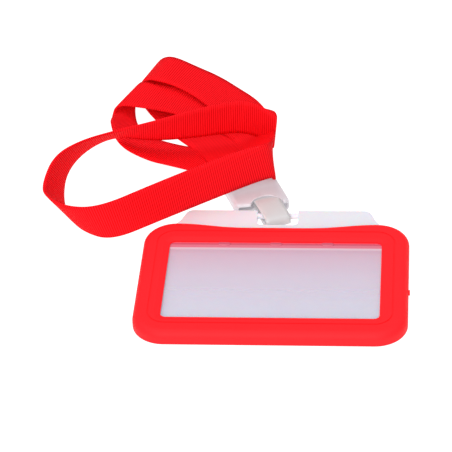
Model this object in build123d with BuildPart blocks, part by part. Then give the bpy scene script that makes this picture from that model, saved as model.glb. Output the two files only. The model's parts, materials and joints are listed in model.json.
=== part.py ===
"""A lanyard badge holder: a framed card case with a pull-out tray, a strap clip and a loose ribbon."""

from build123d import *
from math import cos, radians, sin, tan
import os

os.makedirs("parts", exist_ok=True)

# Frame: origin at the centre of the case's back face, +X right, +Y to the tab, +Z up through the window.

# The red bumper frame around the case.
frame_half_x = 54.1
frame_near_y = -36.3
frame_far_y = 36.3
ear_y = 38.9
dip_shoulder = (20.5, 36.7)
frame_corner = 13.0
frame_height = 6.0
frame_top_round = 3.0
frame_back_round = 0.7
lip_slope_width = 2.5
lip_top = 5.5
groove_x = 48.4
groove_near_y = -29.7
groove_far_y = 32.2
groove_corner = 7.5
groove_width = 0.6
groove_depth = 0.35

# The window and the layers behind it, from the back face up.
window_x = 86.0
window_y = 50.6
window_corner = 2.25
back_opening = (84.0, 52.0)
back_opening_corner = 3.0
back_lip = 1.0
back_plate_top = 1.8
back_flange = (92.0, 60.0)
pane_low = 4.3
pane_top = 4.9
pane_size = (92.0, 58.4)
pane_corner = 4.0
seat_gap = 0.1
lug_length = 5.0
lug_width = 1.7
lug_height = 0.4
lug_spacing = 21.0
lug_y = 24.2
gate_nub_y = -5.0
gate_nub_radius = 1.1

# The tray that the card lies in, with its pull tab.
cavity_half_x = 44.2
cavity_half_y = 27.8
slot_low = 1.95
slot_high = 4.05
tray_half_x = 43.8
tray_near_y = -27.4
tray_low = 2.1
tray_floor = 3.0
tray_top = 3.9
card_recess = (86.0, 54.4)
card_recess_y = 0.6
card_recess_corner = 3.2
tab_start_y = 35.0
tab_root_y = 37.0
tab_end_y = 49.5
tab_waist_x = 40.4
tab_waist_y = 41.8
tab_tip_x = 37.4
tray_rounds = ((tab_end_y, 3.4), (tab_waist_y, 4.0), (tab_root_y, 3.0), (tray_near_y, 0.8))
row_reach = 0.1
strap_slot = (-8.7, 8.2)
strap_slot_near_y = 39.3
strap_slot_corner = 2.0
bar_y = 47.0
bar_z = 2.8
bar_radius = 1.2
bar_root = 0.8

# The strap, looped loosely round the bar, and the clip that it leads to, both turned on the bar.
pivot_x = -1.8
clip_turn = 22.0
strap_width = 10.5
strap_thickness = 1.0
strap_low_z = 0.75
strap_high_z = 4.95
strap_loop_reach = -5.0
strap_bar_reach = 2.8
strap_mouth = 7.6
strap_end = 19.0
strap_inner_low = 1.65
strap_inner_high = 3.75
strap_pinch = 0.05
housing_left = -13.7
housing_right = 8.9
housing_mouth_left = 8.9
housing_mouth_right = 3.9
housing_end = 36.0
housing_height = 5.5
housing_wall = 1.0
housing_side_wall = 1.1
housing_round = 1.6
housing_corner = 3.0
housing_cavity_corner = 0.8
scallop_centre = (-1.2, 5.2)
scallop_radius = 7.0
crimp_start = 27.0
crimp_end = 35.8
crimp_gap = 0.15
crimp_width = 17.6
crimp_corner = 0.8
crimp_sheet = 0.4
staple_wire = 0.7
staple_span = 9.0

# The ribbon: width and thickness, and its route from the clip round the loop and back to the clip.
ribbon_width = 20.0
ribbon_thickness = 0.9
ribbon_route = [
    (-17.5, 79.5, 2.9),
    (-22.0, 90.0, 2.1),
    (-29.5, 102.5, 1.2),
    (-41.0, 115.5, 0.7),
    (-52.0, 131.0, 0.6),
    (-60.0, 146.0, 0.6),
    (-64.0, 155.3, 0.6),
    (-62.5, 151.0, 11.0),
    (-56.0, 144.3, 13.0),
    (-46.0, 144.8, 9.3),
    (-35.5, 138.5, 7.6),
    (-25.5, 127.5, 6.6),
    (-17.5, 113.5, 6.0),
    (-12.5, 101.5, 5.8),
    (-11.0, 92.0, 6.8),
    (-6.5, 81.5, 13.0),
    (-1.5, 72.0, 16.5),
    (-3.2, 64.5, 18.8),
    (-12.0, 61.0, 18.3),
    (-28.0, 54.0, 15.8),
    (-50.0, 42.5, 12.5),
    (-70.0, 31.5, 9.4),
    (-84.0, 33.0, 9.0),
    (-94.0, 42.0, 8.5),
    (-96.0, 54.0, 9.0),
    (-92.5, 66.0, 15.5),
    (-84.0, 78.0, 17.0),
    (-72.0, 90.0, 15.0),
    (-56.0, 89.6, 16.4),
    (-40.0, 93.5, 17.3),
    (-23.0, 99.0, 17.8),
    (-11.5, 98.5, 16.3),
    (-2.8, 100.5, 12.0),
    (-3.8, 106.0, 8.0),
    (-12.0, 110.5, 3.4),
    (-22.0, 118.0, 3.4),
    (-34.0, 124.5, 4.3),
    (-47.0, 130.5, 5.5),
    (-60.0, 129.5, 8.8),
    (-71.5, 131.5, 9.4),
    (-73.0, 132.0, 2.2),
    (-71.5, 118.0, 1.9),
    (-68.0, 104.0, 1.2),
    (-56.0, 96.8, 0.8),
    (-44.0, 92.8, 0.6),
    (-32.0, 91.0, 0.6),
    (-24.5, 88.0, 0.8),
    (-19.5, 80.0, 1.6),
]

# Each stretch of ribbon, by the first and last point of the route that it takes in.
lower_run = (0, 5)
top_roll = (5, 8)
top_run = (8, 13)
near_rise = (13, 16)
front_loop = (16, 33)
middle_run = (33, 37)
left_roll = (37, 41)
left_run = (41, 47)

# The ribbon's width lies along these axes in its two rolls, and leans like this in its standing loop.
top_roll_axis = (0.325, 0.946, 0)
left_roll_axis = (0.385, 0.923, 0)
front_loop_lean = (-0.07, -0.075, 1)
front_loop_lift = 0.7
left_run_z = 0.5


def save(part, name):
    """Label a finished piece and write it as its own STEP file."""
    part.label = name
    export_step(part, f"parts/{name}.step")


def corner_radii(points):
    """The arc radius at each corner of a route: 0.45 of the shorter run over the tangent of half the turn."""
    radii = []
    for before, corner, after in zip(points, points[1:], points[2:]):
        run_in = corner - before
        run_out = after - corner
        half_turn = radians(run_in.get_angle(run_out)) / 2
        radii.append(0.45 * min(run_in.length, run_out.length) / tan(half_turn))
    return radii


def ribbon_strip(name, stretch, plane, line_width, depth):
    """One stretch of ribbon: its route in a plane, drawn line_width wide and extruded depth through the plane."""
    first, last = stretch
    points = []
    for point in ribbon_route[first : last + 1]:
        local = plane.to_local_coords(Vector(*point))
        points.append(Vector(local.X, local.Y))
    radii = corner_radii(points)
    print(name, "radii", [round(radius, 1) for radius in radii])
    with BuildPart() as strip:
        with BuildSketch(plane) as outline:
            with BuildLine() as line:
                FilletPolyline(*points, radius=radii)
            trace(line_width=line_width)
        extrude(amount=depth / 2, both=True)
    length = sum(edge.length for edge in line.line.edges())
    print(name, "length", round(length, 1), "volume", round(strip.part.volume, 1),
          "section x length", round(length * ribbon_width * ribbon_thickness, 1))
    save(strip.part, name)


# The red bumper frame: ears at the far corners, a sloping lip round the window, room for the layers inside.
with BuildPart() as bumper_frame:
    with BuildSketch():
        with BuildLine():
            corner_x = frame_half_x - frame_corner
            corner_y = frame_near_y + frame_corner
            ear_side_y = ear_y - frame_corner
            dip_x, dip_y = dip_shoulder
            Line((-corner_x, frame_near_y), (corner_x, frame_near_y))
            RadiusArc((corner_x, frame_near_y), (frame_half_x, corner_y), -frame_corner)
            Line((frame_half_x, corner_y), (frame_half_x, ear_side_y))
            RadiusArc((frame_half_x, ear_side_y), (corner_x, ear_y), -frame_corner)
            Spline((corner_x, ear_y), (dip_x, dip_y), (0, frame_far_y), (-dip_x, dip_y), (-corner_x, ear_y),
                   tangents=((-1, 0), (-1, 0)))
            RadiusArc((-corner_x, ear_y), (-frame_half_x, ear_side_y), -frame_corner)
            Line((-frame_half_x, ear_side_y), (-frame_half_x, corner_y))
            RadiusArc((-frame_half_x, corner_y), (-corner_x, frame_near_y), -frame_corner)
        make_face()
    extrude(amount=frame_height)
    fillet(bumper_frame.faces().sort_by(Axis.Z)[-1].edges(), radius=frame_top_round)
    fillet(bumper_frame.faces().sort_by(Axis.Z)[0].edges(), radius=frame_back_round)
    with BuildSketch(Plane.XY.offset(frame_height)):
        RectangleRounded(window_x + 2 * lip_slope_width, window_y + 2 * lip_slope_width,
                         window_corner + lip_slope_width)
    with BuildSketch(Plane.XY.offset(lip_top)):
        RectangleRounded(window_x, window_y, window_corner)
    loft(mode=Mode.SUBTRACT)
    with BuildSketch(Plane.XY.offset(back_lip)):
        RectangleRounded(window_x, window_y, window_corner)
    extrude(amount=frame_height - back_lip, mode=Mode.SUBTRACT)
    groove_centre_y = (groove_far_y + groove_near_y) / 2
    groove_size = (2 * groove_x, groove_far_y - groove_near_y)
    with BuildSketch(Plane.XY.offset(frame_height)):
        with Locations((0, groove_centre_y)):
            RectangleRounded(groove_size[0], groove_size[1], groove_corner)
            RectangleRounded(groove_size[0] - 2 * groove_width, groove_size[1] - 2 * groove_width,
                             groove_corner - groove_width, mode=Mode.SUBTRACT)
    extrude(amount=-groove_depth, mode=Mode.SUBTRACT)
    with BuildSketch():
        RectangleRounded(back_opening[0], back_opening[1], back_opening_corner)
    extrude(amount=back_lip, mode=Mode.SUBTRACT)
    with BuildSketch(Plane.XY.offset(back_lip)):
        Rectangle(back_flange[0] + 2 * seat_gap, back_flange[1] + 2 * seat_gap)
    extrude(amount=back_plate_top - back_lip, mode=Mode.SUBTRACT)
    with BuildSketch(Plane.XY.offset(back_plate_top)):
        Rectangle(2 * cavity_half_x, 2 * cavity_half_y)
    extrude(amount=pane_low - back_plate_top, mode=Mode.SUBTRACT)
    with BuildSketch(Plane.XY.offset(pane_low)):
        RectangleRounded(pane_size[0] + 2 * seat_gap, pane_size[1] + 2 * seat_gap, pane_corner)
    extrude(amount=pane_top - pane_low, mode=Mode.SUBTRACT)
    with BuildSketch(Plane.XY.offset(slot_low)):
        Rectangle(2 * cavity_half_x, frame_half_x, align=(Align.CENTER, Align.MIN))
    extrude(amount=slot_high - slot_low, mode=Mode.SUBTRACT)
    with BuildSketch(Plane.YZ.offset(frame_half_x)):
        with Locations((gate_nub_y, frame_height / 2)):
            Circle(gate_nub_radius)
    extrude(amount=gate_nub_radius / 2, both=True)
save(bumper_frame.part, "bumper_frame")

# The clear window: a thin pane under the lip, with three oval lugs along its far side.
with BuildPart() as window_cover:
    with BuildSketch(Plane.XY.offset(pane_low)):
        RectangleRounded(pane_size[0], pane_size[1], pane_corner)
    extrude(amount=pane_top - pane_low)
    with BuildSketch(Plane.XY.offset(pane_top)):
        with Locations((-lug_spacing, lug_y), (0, lug_y), (lug_spacing, lug_y)):
            SlotOverall(lug_length, lug_width)
    extrude(amount=lug_height)
save(window_cover.part, "window_cover")

# The back plate: a flange held inside the frame and a raised field that fills the back opening.
with BuildPart() as back_plate:
    with BuildSketch():
        RectangleRounded(back_opening[0] - 2 * seat_gap, back_opening[1] - 2 * seat_gap,
                         back_opening_corner - seat_gap)
    extrude(amount=back_lip)
    with BuildSketch(Plane.XY.offset(back_lip)):
        Rectangle(*back_flange)
    extrude(amount=back_plate_top - back_lip)
save(back_plate.part, "back_plate")

# The sliding card tray: a recess for the card, a pull tab with a slot, and a round bar for the strap.
with BuildPart() as card_tray:
    with BuildSketch(Plane.XY.offset(tray_low)):
        with BuildLine():
            Polyline(
                (-tray_half_x, tray_near_y),
                (tray_half_x, tray_near_y),
                (tray_half_x, tab_root_y),
                (tab_waist_x, tab_waist_y),
                (tab_tip_x, tab_end_y),
                (-tab_tip_x, tab_end_y),
                (-tab_waist_x, tab_waist_y),
                (-tray_half_x, tab_root_y),
                close=True,
            )
        make_face()
    extrude(amount=tray_top - tray_low)
    for row_y, radius in tray_rounds:
        row = card_tray.edges().filter_by(Axis.Z).filter_by_position(Axis.Y, row_y - row_reach, row_y + row_reach)
        fillet(row, radius=radius)
    with BuildSketch(Plane.XY.offset(tray_top)):
        with Locations((0, card_recess_y)):
            RectangleRounded(card_recess[0], card_recess[1], card_recess_corner)
    extrude(amount=tray_floor - tray_top, mode=Mode.SUBTRACT)
    slot_width = strap_slot[1] - strap_slot[0]
    slot_middle = (strap_slot[0] + strap_slot[1]) / 2
    slot_reach = tab_end_y + strap_slot_corner - strap_slot_near_y
    with BuildSketch(Plane.XY.offset(tray_low)):
        with Locations((slot_middle, strap_slot_near_y + slot_reach / 2)):
            RectangleRounded(slot_width, slot_reach, strap_slot_corner)
            Rectangle(slot_width, slot_reach - 2 * strap_slot_corner)
    extrude(amount=tray_top - tray_low, mode=Mode.SUBTRACT)
    with BuildSketch(Plane.YZ.offset(slot_middle)):
        with Locations((bar_y, bar_z)):
            Circle(bar_radius)
    extrude(amount=slot_width / 2 + bar_root, both=True)
save(card_tray.part, "card_tray")

clip_plane = Plane(origin=(pivot_x, bar_y, 0), x_dir=(cos(radians(clip_turn)), sin(radians(clip_turn)), 0),
                   z_dir=(0, 0, 1))
inside_plane = Plane(origin=clip_plane.origin, x_dir=clip_plane.x_dir, z_dir=clip_plane.y_dir)
strap_plane = Plane(origin=(pivot_x, bar_y, 0), x_dir=(-sin(radians(clip_turn)), cos(radians(clip_turn)), 0),
                    z_dir=(cos(radians(clip_turn)), sin(radians(clip_turn)), 0))

# The strap: both plies run into the clip, and the loop between them goes loosely round the tray's bar.
loop_radius = (strap_high_z - strap_low_z) / 2
loop_middle_z = (strap_high_z + strap_low_z) / 2
loop_turn_x = strap_loop_reach + loop_radius
with BuildPart() as clip_strap:
    with BuildSketch(strap_plane):
        with BuildLine():
            Spline((strap_end, strap_inner_high), (strap_mouth, strap_inner_high + strap_pinch),
                   (strap_bar_reach, strap_high_z), tangents=((-1, 0), (-1, 0)))
            Line((strap_bar_reach, strap_high_z), (loop_turn_x, strap_high_z))
            ThreePointArc((loop_turn_x, strap_high_z), (strap_loop_reach, loop_middle_z),
                          (loop_turn_x, strap_low_z))
            Line((loop_turn_x, strap_low_z), (strap_bar_reach, strap_low_z))
            Spline((strap_bar_reach, strap_low_z), (strap_mouth, strap_inner_low - strap_pinch),
                   (strap_end, strap_inner_low), tangents=((1, 0), (1, 0)))
        trace(line_width=strap_thickness)
    extrude(amount=strap_width / 2, both=True)
save(clip_strap.part, "clip_strap")

# The clip's housing: a flat sleeve with a slanted mouth, scalloped above and below the strap.
with BuildPart() as clip_housing:
    with BuildSketch(clip_plane):
        with BuildLine():
            Polyline(
                (housing_left, housing_mouth_left),
                (housing_right, housing_mouth_right),
                (housing_right, housing_end),
                (housing_left, housing_end),
                close=True,
            )
        make_face()
        fillet(vertices(), radius=housing_corner)
    extrude(amount=housing_height)
    fillet(clip_housing.faces().filter_by(Axis.Z).edges(), radius=housing_round)
    housing_middle = (housing_left + housing_right) / 2
    cavity_width = housing_right - housing_left - 2 * housing_side_wall
    cavity_height = housing_height - 2 * housing_wall
    with BuildSketch(inside_plane):
        with Locations((housing_middle, -housing_height / 2)):
            RectangleRounded(cavity_width, cavity_height, housing_cavity_corner)
    extrude(amount=housing_end, mode=Mode.SUBTRACT)
    with BuildSketch(clip_plane):
        with Locations(scallop_centre):
            Circle(scallop_radius)
    extrude(amount=housing_height, mode=Mode.SUBTRACT)
save(clip_housing.part, "clip_housing")

# The crimp inside the clip: a folded metal sleeve that grips both ends of the ribbon, with a wire staple.
crimp_low = housing_wall + crimp_gap
crimp_height = housing_height - 2 * crimp_low
with BuildPart() as ribbon_crimp:
    with BuildSketch(inside_plane):
        with Locations((housing_middle, -housing_height / 2)):
            RectangleRounded(crimp_width, crimp_height, crimp_corner)
            Rectangle(crimp_width - 2 * crimp_sheet, crimp_height - 2 * crimp_sheet, mode=Mode.SUBTRACT)
    extrude(amount=crimp_end)
    with BuildSketch(clip_plane):
        with Locations((housing_middle, crimp_start / 2)):
            Rectangle(2 * housing_end, crimp_start)
    extrude(amount=housing_height, mode=Mode.SUBTRACT)
save(ribbon_crimp.part, "ribbon_crimp")

with BuildPart() as crimp_staple:
    with BuildSketch(clip_plane.offset(crimp_low + crimp_sheet)):
        with Locations((housing_middle - staple_span / 2, (crimp_start + crimp_end) / 2),
                       (housing_middle + staple_span / 2, (crimp_start + crimp_end) / 2)):
            Circle(staple_wire / 2)
    extrude(amount=crimp_height - 2 * crimp_sheet)
    with BuildSketch(clip_plane.offset(crimp_low + crimp_sheet)):
        with Locations((housing_middle, (crimp_start + crimp_end) / 2)):
            SlotCenterToCenter(staple_span, staple_wire)
    extrude(amount=staple_wire)
save(crimp_staple.part, "crimp_staple")


def level_plane(start, end):
    """A plane through two points of the route that lies level across the line between them."""
    along = Vector(*end) - Vector(*start)
    across = Vector(0, 0, 1).cross(along).normalized()
    return Plane(origin=start, x_dir=along, z_dir=along.cross(across))


def roll_plane(centre, axis):
    """A plane square to the axis of a roll, through its centre."""
    return Plane(origin=centre, x_dir=Vector(*axis).cross(Vector(0, 0, 1)), z_dir=axis)


ribbon_strip("ribbon_lower_run", lower_run, level_plane(ribbon_route[0], ribbon_route[5]),
             ribbon_width, ribbon_thickness)
ribbon_strip("ribbon_top_roll", top_roll, roll_plane(ribbon_route[6], top_roll_axis),
             ribbon_thickness, ribbon_width)
ribbon_strip("ribbon_top_run", top_run, level_plane(ribbon_route[8], ribbon_route[13]),
             ribbon_width, ribbon_thickness)
ribbon_strip("ribbon_near_rise", near_rise, level_plane(ribbon_route[13], ribbon_route[16]),
             ribbon_width, ribbon_thickness)
loop_start = Vector(*ribbon_route[20]) + Vector(0, 0, front_loop_lift)
ribbon_strip("ribbon_front_loop", front_loop, Plane(origin=loop_start, z_dir=front_loop_lean),
             ribbon_thickness, ribbon_width)
ribbon_strip("ribbon_middle_run", middle_run, level_plane(ribbon_route[34], ribbon_route[37]),
             ribbon_width, ribbon_thickness)
ribbon_strip("ribbon_left_roll", left_roll, roll_plane(ribbon_route[39], left_roll_axis),
             ribbon_thickness, ribbon_width)
ribbon_strip("ribbon_left_run", left_run, Plane.XY.offset(left_run_z),
             ribbon_width, ribbon_thickness)
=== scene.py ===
"""A lanyard badge holder on a white table: the looks of its case, clip, strap and woven ribbon."""

import json
import math

import bmesh
import bpy
from mathutils import Matrix, Vector


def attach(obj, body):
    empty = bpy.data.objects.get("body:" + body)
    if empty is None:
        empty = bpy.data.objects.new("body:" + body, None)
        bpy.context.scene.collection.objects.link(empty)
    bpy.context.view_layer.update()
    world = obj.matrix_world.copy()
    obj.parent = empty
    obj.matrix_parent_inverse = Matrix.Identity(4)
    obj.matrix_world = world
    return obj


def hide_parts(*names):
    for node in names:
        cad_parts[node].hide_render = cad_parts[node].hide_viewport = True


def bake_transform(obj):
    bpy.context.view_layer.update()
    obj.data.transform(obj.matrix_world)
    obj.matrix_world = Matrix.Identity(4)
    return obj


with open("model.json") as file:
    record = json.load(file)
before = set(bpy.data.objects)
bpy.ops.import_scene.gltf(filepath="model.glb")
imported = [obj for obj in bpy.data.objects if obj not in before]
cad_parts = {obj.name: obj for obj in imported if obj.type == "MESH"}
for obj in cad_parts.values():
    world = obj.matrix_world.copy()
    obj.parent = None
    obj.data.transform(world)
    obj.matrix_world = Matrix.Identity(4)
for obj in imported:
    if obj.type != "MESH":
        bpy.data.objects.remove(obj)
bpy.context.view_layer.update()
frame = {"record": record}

MM = 0.001
scene = bpy.context.scene


# Camera: a long lens on the case from in front and above.

CAMERA_PLACE = Vector((62.06, -828.76, 624.57)) * MM
CAMERA_AZIMUTH = math.radians(5.4907)
CAMERA_ELEVATION = math.radians(35.4728)
CAMERA_ROLL = math.radians(-2.77)
CAMERA_LENS = 207.08

forward = Vector((
    -math.sin(CAMERA_AZIMUTH) * math.cos(CAMERA_ELEVATION),
    math.cos(CAMERA_AZIMUTH) * math.cos(CAMERA_ELEVATION),
    -math.sin(CAMERA_ELEVATION),
))
level_right = Vector((math.cos(CAMERA_AZIMUTH), math.sin(CAMERA_AZIMUTH), 0))
level_up = level_right.cross(forward)
right = level_right * math.cos(CAMERA_ROLL) + level_up * math.sin(CAMERA_ROLL)
up = level_up * math.cos(CAMERA_ROLL) - level_right * math.sin(CAMERA_ROLL)

camera = bpy.data.objects.new("camera", bpy.data.cameras.new("camera"))
camera.data.lens = CAMERA_LENS
camera.data.sensor_width = 36
camera.data.clip_start = 0.05
camera.data.clip_end = 20
camera.matrix_world = Matrix.Translation(CAMERA_PLACE) @ Matrix((right, up, -forward)).transposed().to_4x4()
scene.collection.objects.link(camera)
scene.camera = camera
scene.view_settings.view_transform = "Standard"


# Light: a pale studio, with a large soft light above and a smaller one in front, both a little to the left.

CENTRE = (-0.02, 0.05, 0)


def area_light(name, place, size, power):
    """A square lamp that faces the middle of the object."""
    data = bpy.data.lights.new(name, "AREA")
    data.shape = "SQUARE"
    data.size = size
    data.energy = power
    lamp = bpy.data.objects.new(name, data)
    lamp.location = place
    lamp.rotation_euler = (Vector(CENTRE) - Vector(place)).to_track_quat("-Z", "Y").to_euler()
    scene.collection.objects.link(lamp)


area_light("top", place=(-0.15, -0.1, 1.1), size=1.6, power=12.5)
area_light("front", place=(-0.15, -1.25, 0.75), size=0.9, power=15)

world = bpy.data.worlds.new("studio")
world.use_nodes = True
world.node_tree.nodes["Background"].inputs["Color"].default_value = (1, 1, 1, 1)
world.node_tree.nodes["Background"].inputs["Strength"].default_value = 0.38
scene.world = world


# Materials.

def new_material(name, colour, roughness):
    """A material, its Principled node and its node tree. A pattern, if any, covers the plain colour."""
    material = bpy.data.materials.new(name)
    material.use_nodes = True
    tree = material.node_tree
    shader = tree.nodes["Principled BSDF"]
    shader.inputs["Base Color"].default_value = (*colour, 1)
    shader.inputs["Roughness"].default_value = roughness
    shader.inputs["Specular IOR Level"].default_value = 0.3
    return material, shader, tree


def noise_bump(tree, shader, scale, distance, strength=0.5, detail=6):
    """A fine all-over grain on a shader's normal, in object space."""
    place = tree.nodes.new("ShaderNodeTexCoord")
    noise = tree.nodes.new("ShaderNodeTexNoise")
    noise.inputs["Scale"].default_value = scale
    noise.inputs["Detail"].default_value = detail
    bump = tree.nodes.new("ShaderNodeBump")
    bump.inputs["Strength"].default_value = strength
    bump.inputs["Distance"].default_value = distance
    tree.links.new(place.outputs["Object"], noise.inputs["Vector"])
    tree.links.new(noise.outputs["Fac"], bump.inputs["Height"])
    tree.links.new(bump.outputs["Normal"], shader.inputs["Normal"])


def mottle(tree, shader, first, second, scale):
    """A slight slow change of colour over a surface, in object space."""
    place = tree.nodes.new("ShaderNodeTexCoord")
    noise = tree.nodes.new("ShaderNodeTexNoise")
    noise.inputs["Scale"].default_value = scale
    mix = tree.nodes.new("ShaderNodeMix")
    mix.data_type = "RGBA"
    mix.inputs["A"].default_value = (*first, 1)
    mix.inputs["B"].default_value = (*second, 1)
    tree.links.new(place.outputs["Object"], noise.inputs["Vector"])
    tree.links.new(noise.outputs["Fac"], mix.inputs["Factor"])
    tree.links.new(mix.outputs["Result"], shader.inputs["Base Color"])


def let_light_in(shader, weight, scale, radius=None):
    """Light that soaks into white plastic as far as scale, in metres, with a radius for each colour."""
    shader.inputs["Subsurface Weight"].default_value = weight
    shader.inputs["Subsurface Scale"].default_value = scale
    if radius:
        shader.inputs["Subsurface Radius"].default_value = radius


MOULDING_GLOW = 0.09


def glow(shader, colour):
    """A weak even light that stands in for light passing through a thin white moulding."""
    shader.inputs["Emission Color"].default_value = (*colour, 1)
    shader.inputs["Emission Strength"].default_value = MOULDING_GLOW


def rubber_material():
    material, shader, tree = new_material("red_rubber", (1.0, 0.012, 0.018), 0.6)
    shader.inputs["Specular IOR Level"].default_value = 0.15
    mottle(tree, shader, (1.0, 0.010, 0.016), (0.97, 0.012, 0.018), 60)
    noise_bump(tree, shader, 2600, 0.00002)
    return material


def case_material():
    material, shader, tree = new_material("case_white", (0.86, 0.80, 0.86), 0.42)
    mottle(tree, shader, (0.68, 0.69, 0.74), (0.65, 0.66, 0.71), 40)
    noise_bump(tree, shader, 1800, 0.000015)
    let_light_in(shader, weight=0.5, scale=0.002)
    return material


# The window's colour and cover across its depth, from its near edge at 0 to its far edge at 1. The colour is
# a lavender film turning pinker and darker towards 0.90, then a painted highlight line, the red wall painted
# on as if seen through the clear edge, and a painted shadow line near the far edge.
WINDOW_HALF_DEPTH = 25.3 * MM
WINDOW_TINT_AND_PAINTED_LIGHT = (
    (0.0, (0.71, 0.69, 0.81)),
    (0.55, (0.75, 0.63, 0.75)),
    (0.90, (0.76, 0.50, 0.62)),
    # Painted highlight line.
    (0.925, (0.88, 0.74, 0.82)),
    # The red wall beside the window, painted on as if seen through the clear edge.
    (0.935, (0.78, 0.18, 0.27)),
    (0.96, (0.80, 0.22, 0.30)),
    # Painted shadow line along the frame's lip.
    (0.98, (0.62, 0.08, 0.14)),
    (1.0, (0.90, 0.16, 0.22)),
)
WINDOW_COVER = (
    (0.0, (0.25, 0.25, 0.25)),
    (0.90, (0.45, 0.45, 0.45)),
    (0.935, (0.70, 0.70, 0.70)),
    (1.0, (0.72, 0.72, 0.72)),
)


def window_material():
    """Clear film, with a band along its far edge where the red wall beside it is painted on, with a painted
    highlight line and a painted shadow line.
    """
    material, shader, tree = new_material("window_clear", (0.45, 0.22, 0.48), 0.12)
    shader.inputs["Specular IOR Level"].default_value = 0.4
    noise_bump(tree, shader, 500, 0.000006, 0.3)
    place = tree.nodes.new("ShaderNodeTexCoord")
    split = tree.nodes.new("ShaderNodeSeparateXYZ")
    across = tree.nodes.new("ShaderNodeMapRange")
    across.inputs["From Min"].default_value = -WINDOW_HALF_DEPTH
    across.inputs["From Max"].default_value = WINDOW_HALF_DEPTH
    tree.links.new(place.outputs["Object"], split.inputs["Vector"])
    tree.links.new(split.outputs["Y"], across.inputs["Value"])
    for name, stops in (("Base Color", WINDOW_TINT_AND_PAINTED_LIGHT), ("Alpha", WINDOW_COVER)):
        ramp = tree.nodes.new("ShaderNodeValToRGB")
        elements = ramp.color_ramp.elements
        elements.remove(elements[1])
        for index, (spot, colour) in enumerate(stops):
            stop = elements.new(spot) if index else elements[0]
            stop.position = spot
            stop.color = (*colour, 1)
        tree.links.new(across.outputs["Result"], ramp.inputs["Fac"])
        tree.links.new(ramp.outputs["Color"], shader.inputs[name])
    return material


def strap_material():
    material, shader, tree = new_material("strap_white", (0.80, 0.77, 0.77), 0.30)
    mottle(tree, shader, (0.50, 0.50, 0.50), (0.47, 0.465, 0.47), 120)
    noise_bump(tree, shader, 900, 0.00003)
    let_light_in(shader, weight=0.8, scale=0.0015, radius=(1, 0.9, 0.9))
    glow(shader, (0.95, 0.88, 0.92))
    return material


def clip_material():
    material, shader, tree = new_material("clip_white", (0.76, 0.71, 0.77), 0.28)
    mottle(tree, shader, (0.52, 0.50, 0.53), (0.49, 0.47, 0.51), 90)
    noise_bump(tree, shader, 1200, 0.00001)
    let_light_in(shader, weight=0.8, scale=0.006, radius=(1, 1, 1))
    glow(shader, (0.95, 0.88, 0.93))
    return material


def steel_material():
    material, shader, tree = new_material("crimp_steel", (0.62, 0.62, 0.64), 0.3)
    shader.inputs["Metallic"].default_value = 1
    noise_bump(tree, shader, 1500, 0.00001)
    return material


RIB_PITCH = 0.95 * MM
RIB_HEIGHT = 0.05 * MM
THREADS_PER_MM = 2.2
THREAD_SHARE = 0.08
# Painted shade in the rib valleys and painted light on the rib crowns.
RIB_VALLEY_PAINTED_SHADE = (0.66, 0.0005, 0.002, 1)
RIB_CROWN_PAINTED_LIGHT = (1.0, 0.015, 0.024, 1)


def ribbon_material():
    """Red grosgrain: cross ribs every pitch along the ribbon, with fine warp threads across each rib. Its
    colour has painted shade in the rib valleys and painted light on the rib crowns.
    """
    material, shader, tree = new_material("ribbon_red", (1.0, 0.002, 0.006), 0.75)
    shader.inputs["Specular IOR Level"].default_value = 0.02
    uv = tree.nodes.new("ShaderNodeUVMap")
    uv.uv_map = "along"
    split = tree.nodes.new("ShaderNodeSeparateXYZ")
    tree.links.new(uv.outputs["UV"], split.inputs["Vector"])

    def wave(source, count):
        """A sine of a length in millimetres, with this many waves to the millimetre."""
        scaled = tree.nodes.new("ShaderNodeMath")
        scaled.operation = "MULTIPLY"
        scaled.inputs[1].default_value = 2 * math.pi * count
        sine = tree.nodes.new("ShaderNodeMath")
        sine.operation = "SINE"
        tree.links.new(source, scaled.inputs[0])
        tree.links.new(scaled.outputs[0], sine.inputs[0])
        return sine.outputs[0]

    ribs = wave(split.outputs["X"], MM / RIB_PITCH)
    threads = wave(split.outputs["Y"], THREADS_PER_MM)
    height = tree.nodes.new("ShaderNodeMath")
    height.operation = "MULTIPLY_ADD"
    height.inputs[1].default_value = THREAD_SHARE
    tree.links.new(threads, height.inputs[0])
    tree.links.new(ribs, height.inputs[2])
    bump = tree.nodes.new("ShaderNodeBump")
    bump.inputs["Distance"].default_value = RIB_HEIGHT
    bump.inputs["Strength"].default_value = 1.0
    tree.links.new(height.outputs[0], bump.inputs["Height"])
    tree.links.new(bump.outputs["Normal"], shader.inputs["Normal"])
    # Colour from the ribs: painted shade in the valleys, painted light on the crowns.
    shade = tree.nodes.new("ShaderNodeMapRange")
    shade.inputs["From Min"].default_value = -1
    shade.inputs["From Max"].default_value = 1
    tree.links.new(ribs, shade.inputs["Value"])
    mix = tree.nodes.new("ShaderNodeMix")
    mix.data_type = "RGBA"
    mix.inputs["A"].default_value = RIB_VALLEY_PAINTED_SHADE
    mix.inputs["B"].default_value = RIB_CROWN_PAINTED_LIGHT
    tree.links.new(shade.outputs["Result"], mix.inputs["Factor"])
    tree.links.new(mix.outputs["Result"], shader.inputs["Base Color"])
    return material


def floor_material():
    material, shader, tree = new_material("floor", (0.25, 0.25, 0.25), 0.9)
    shader.inputs["Specular IOR Level"].default_value = 0
    shader.inputs["Emission Color"].default_value = (1, 1, 1, 1)
    shader.inputs["Emission Strength"].default_value = 0.98
    return material


MATERIALS = {
    "frame_red": rubber_material(),
    "window_clear": window_material(),
    "case_white": case_material(),
    "strap_white": strap_material(),
    "clip_white": clip_material(),
    "crimp_metal": steel_material(),
    "ribbon_red": ribbon_material(),
}

slots = {part["node"]: part["material_slot"] for part in frame["record"]["subparts"]}
for node, name in slots.items():
    mesh = bpy.data.objects[node].data
    mesh.materials.clear()
    mesh.materials.append(MATERIALS[name])


# Floor.

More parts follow.
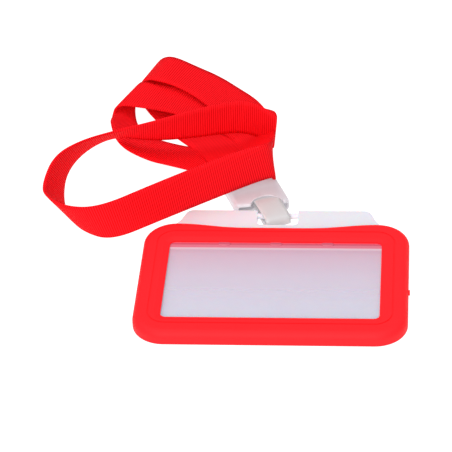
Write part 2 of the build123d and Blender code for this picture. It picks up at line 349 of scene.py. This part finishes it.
def flat_mesh(name, corners):
    mesh = bpy.data.meshes.new(name)
    mesh.from_pydata(corners, [], [range(len(corners))])
    return bpy.data.objects.new(name, mesh)


FLOOR_REACH = 6
floor_corners = [(x * FLOOR_REACH, y * FLOOR_REACH, 0) for x, y in ((-1, -1), (1, -1), (1, 1), (-1, 1))]
floor = flat_mesh("floor", floor_corners)
floor.data.materials.append(floor_material())
scene.collection.objects.link(floor)


# The ribbon: its route in millimetres, and at each point the way from its middle to its marked edge.

RIBBON_WIDTH = 20 * MM
RIBBON_THICKNESS = 0.9 * MM
SPLINE_STEPS = 16
BAND_COLUMNS = 8
EDGE_THICKNESS = 0.75
RIBBON_ROUTE = [
    ((-17.5, 79.5, 2.9), (0.93, 0.37, 0.0)),
    ((-22.0, 90.0, 2.1), (0.90, 0.43, 0.0)),
    ((-29.5, 102.5, 1.2), (0.82, 0.57, 0.0)),
    ((-41.0, 115.5, 0.7), (0.78, 0.62, 0.0)),
    ((-52.0, 131.0, 0.6), (0.78, 0.62, 0.0)),
    ((-60.0, 146.0, 0.6), (0.70, 0.71, 0.0)),
    ((-64.0, 155.3, 0.6), (0.33, 0.95, 0.0)),
    ((-63.2, 151.5, 7.0), (0.33, 0.95, 0.0)),
    ((-59.4, 149.0, 11.0), (0.36, 0.93, 0.0)),
    ((-54.0, 145.2, 12.7), (0.31, 0.95, 0.0)),
    ((-46.0, 144.8, 9.3), (0.36, 0.93, -0.08)),
    ((-35.5, 138.5, 7.6), (0.46, 0.89, -0.04)),
    ((-25.5, 127.5, 6.6), (0.48, 0.87, 0.06)),
    ((-17.5, 113.5, 6.0), (0.80, 0.40, 0.42)),
    ((-12.5, 101.5, 5.8), (0.84, 0.22, 0.48)),
    ((-11.5, 92.0, 7.0), (0.75, 0.05, 0.60)),
    ((-8.0, 81.0, 10.2), (0.45, 0.0, 0.87)),
    ((-3.4, 71.5, 13.6), (0.0, 0.05, 0.98)),
    ((-3.4, 64.6, 18.8), (-0.15, -0.26, 0.95)),
    ((-12.0, 61.0, 18.6), (-0.14, -0.20, 0.97)),
    ((-28.0, 54.0, 15.8), (-0.12, -0.15, 0.98)),
    ((-50.0, 42.5, 12.5), (-0.12, -0.15, 0.98)),
    ((-70.0, 31.5, 9.4), (-0.18, -0.20, 0.96)),
    ((-82.6, 34.0, 9.5), (-0.26, -0.38, 0.88)),
    ((-91.8, 43.5, 9.3), (-0.40, -0.40, 0.82)),
    ((-94.8, 55.0, 9.2), (-0.29, -0.54, 0.79)),
    ((-92.5, 66.0, 15.5), (-0.12, -0.58, 0.80)),
    ((-84.0, 78.0, 17.0), (0.0, -0.72, 0.69)),
    ((-72.0, 90.0, 15.0), (0.06, -0.78, 0.62)),
    ((-56.0, 89.6, 16.4), (0.10, -0.55, 0.83)),
    ((-40.0, 93.5, 17.3), (0.06, -0.38, 0.92)),
    ((-23.0, 99.0, 17.8), (0.04, -0.27, 0.96)),
    ((-13.5, 98.8, 17.6), (0.02, -0.24, 0.97)),
    ((-4.6, 97.0, 12.6), (0.06, -0.24, 0.97)),
    ((-3.6, 97.0, 10.5), (0.13, -0.29, 0.95)),
    ((-10.0, 101.0, 9.0), (0.40, 0.50, 0.76)),
    ((-15.5, 108.5, 6.2), (0.40, 0.78, 0.48)),
    ((-22.0, 118.0, 4.0), (0.45, 0.88, 0.18)),
    ((-34.0, 124.5, 4.3), (0.36, 0.93, 0.0)),
    ((-47.0, 130.5, 5.5), (0.31, 0.95, 0.0)),
    ((-60.0, 129.5, 8.8), (0.31, 0.95, 0.0)),
    ((-71.0, 131.5, 9.2), (0.40, 0.90, 0.04)),
    ((-72.6, 130.0, 2.8), (0.42, 0.89, -0.04)),
    ((-72.0, 116.0, 4.8), (0.42, 0.78, -0.45)),
    ((-67.4, 103.2, 3.2), (0.44, 0.82, -0.28)),
    ((-56.0, 95.8, 2.2), (0.27, 0.95, -0.17)),
    ((-44.0, 91.8, 1.9), (0.42, 0.86, -0.16)),
    ((-32.0, 91.0, 0.6), (0.50, 0.86, 0.0)),
    ((-24.5, 88.0, 0.8), (0.72, 0.69, 0.0)),
    ((-19.5, 80.0, 1.6), (0.93, 0.37, 0.0)),
]


def spline_points(points):
    """The points of a smooth NURBS spline with these control points, as a curve with no bevel gives them."""
    data = bpy.data.curves.new("route", "CURVE")
    data.dimensions = "3D"
    spline = data.splines.new("NURBS")
    spline.points.add(len(points) - 1)
    for spot, point in zip(spline.points, points):
        spot.co = (*point, 1)
    spline.order_u = 3
    spline.use_endpoint_u = True
    spline.resolution_u = SPLINE_STEPS
    route = bpy.data.objects.new("route", data)
    mesh = bpy.data.meshes.new_from_object(route)
    result = [vertex.co.copy() for vertex in mesh.vertices]
    bpy.data.objects.remove(route)
    bpy.data.meshes.remove(mesh)
    return result


def band_mesh(name, centre, marked_edge, width, thickness):
    """A closed flat band along a line, turned so that its width points at a second line beside the first."""
    mesh = bmesh.new()
    uv_layer = mesh.loops.layers.uv.new("along")
    count = len(centre)
    rows = []
    travelled = 0
    for index, point in enumerate(centre):
        before = centre[max(index - 1, 0)]
        after = centre[min(index + 1, count - 1)]
        tangent = (after - before).normalized()
        across = (marked_edge[index] - point).normalized()
        normal = tangent.cross(across).normalized()
        if index:
            travelled += (point - before).length
        row = []
        for side in (1, -1):
            for column in range(BAND_COLUMNS + 1):
                offset = side * (column / BAND_COLUMNS - 0.5)
                edge_fall = EDGE_THICKNESS if column in (0, BAND_COLUMNS) else 1
                place = point + across * (width * offset) + normal * (side * edge_fall * thickness / 2)
                row.append((mesh.verts.new(place), travelled / MM, (offset + 0.5) * width / MM))
        rows.append(row)
    around = len(rows[0])
    for first, second in zip(rows, rows[1:]):
        for index in range(around):
            following = (index + 1) % around
            corners = (first[index], second[index], second[following], first[following])
            face = mesh.faces.new([corner[0] for corner in corners])
            face.smooth = True
            for loop, corner in zip(face.loops, corners):
                loop[uv_layer].uv = corner[1:]
    for row, flip in ((rows[0], False), (rows[-1], True)):
        corners = [corner[0] for corner in row]
        mesh.faces.new(corners[::-1] if flip else corners)
    bmesh.ops.recalc_face_normals(mesh, faces=mesh.faces)
    data = bpy.data.meshes.new(name)
    mesh.to_mesh(data)
    mesh.free()
    piece = bpy.data.objects.new(name, data)
    scene.collection.objects.link(piece)
    return piece


route = [Vector(place) * MM for place, lie in RIBBON_ROUTE]
marked_route = [place + Vector(lie).normalized() * RIBBON_WIDTH / 2
                for place, (_, lie) in zip(route, RIBBON_ROUTE)]
ribbon_line = spline_points(route)
ribbon = band_mesh("ribbon", ribbon_line, spline_points(marked_route), RIBBON_WIDTH, RIBBON_THICKNESS)
ribbon.data.materials.append(MATERIALS["ribbon_red"])
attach(ribbon, "clip")
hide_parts(*[node for node in slots if node.startswith("ribbon_") and node != "ribbon_crimp"])


# The strap: both plies come out of the clip and close in a loop round the tray's bar. Its route gives, in
# millimetres, how far each point is from the bar towards the clip, and its height.

PIVOT = Vector((-1.8, 47, 0)) * MM
CLIP_TURN = math.radians(22)
ALONG = Vector((-math.sin(CLIP_TURN), math.cos(CLIP_TURN), 0))
ACROSS = Vector((math.cos(CLIP_TURN), math.sin(CLIP_TURN), 0))
STRAP_WIDTH = 10.5 * MM
STRAP_THICKNESS = 1.0 * MM
STRAP_ROUTE = [
    (19.0, 3.5), (13.5, 3.6), (11.0, 4.2), (8.0, 4.95), (3.0, 5.0), (-2.0, 5.0), (-4.6, 4.7), (-5.2, 2.85),
    (-4.6, 1.0), (-2.0, 0.72), (3.0, 0.72), (8.0, 0.8), (11.0, 1.4), (13.5, 1.9), (19.0, 2.0),
]
strap_route = [PIVOT + ALONG * (reach * MM) + Vector((0, 0, height * MM)) for reach, height in STRAP_ROUTE]
strap_line = spline_points(strap_route)
strap_edge = [point + ACROSS * STRAP_WIDTH / 2 for point in strap_line]
strap = band_mesh("strap", strap_line, strap_edge, STRAP_WIDTH, STRAP_THICKNESS)
strap.data.materials.append(MATERIALS["strap_white"])
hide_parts("clip_strap")
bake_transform(strap)
